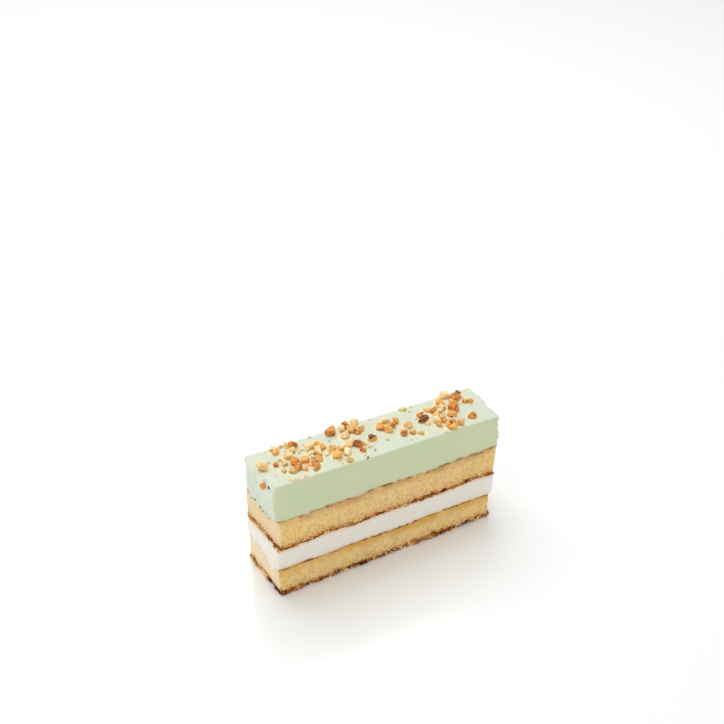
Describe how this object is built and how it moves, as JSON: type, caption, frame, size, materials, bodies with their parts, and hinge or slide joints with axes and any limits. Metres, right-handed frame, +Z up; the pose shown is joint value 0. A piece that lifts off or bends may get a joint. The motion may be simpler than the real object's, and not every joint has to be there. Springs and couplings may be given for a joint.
{
  "type": "slice of layered pistachio cake",
  "caption": "Upright oblong slice of layered cake: sponge, white cream, sponge and a thick pale green mousse, its top strewn with chopped roasted nuts.",
  "frame": {"origin": "on the plate, under the middle of the slice", "axes": "+X along the slice from its left end to its right end, +Y from the front cut face to the back cut face, +Z up"},
  "size_m": [0.0848, 0.0228, 0.0422],
  "materials": {
    "sponge": "golden open sponge crumb with a browned crust underneath, dry and matt",
    "cream": "smooth white whipped cream, soft satin",
    "mousse": "smooth pale pistachio green mousse, soft satin",
    "nut": "roasted chopped nuts, pale cream to toasted orange, some with brown skin"
  },
  "bodies": {
    "root": {"base_sponge": "sponge", "white_cream": "cream", "upper_sponge": "sponge", "pistachio_mousse": "mousse"}
  },
  "joints": []
}
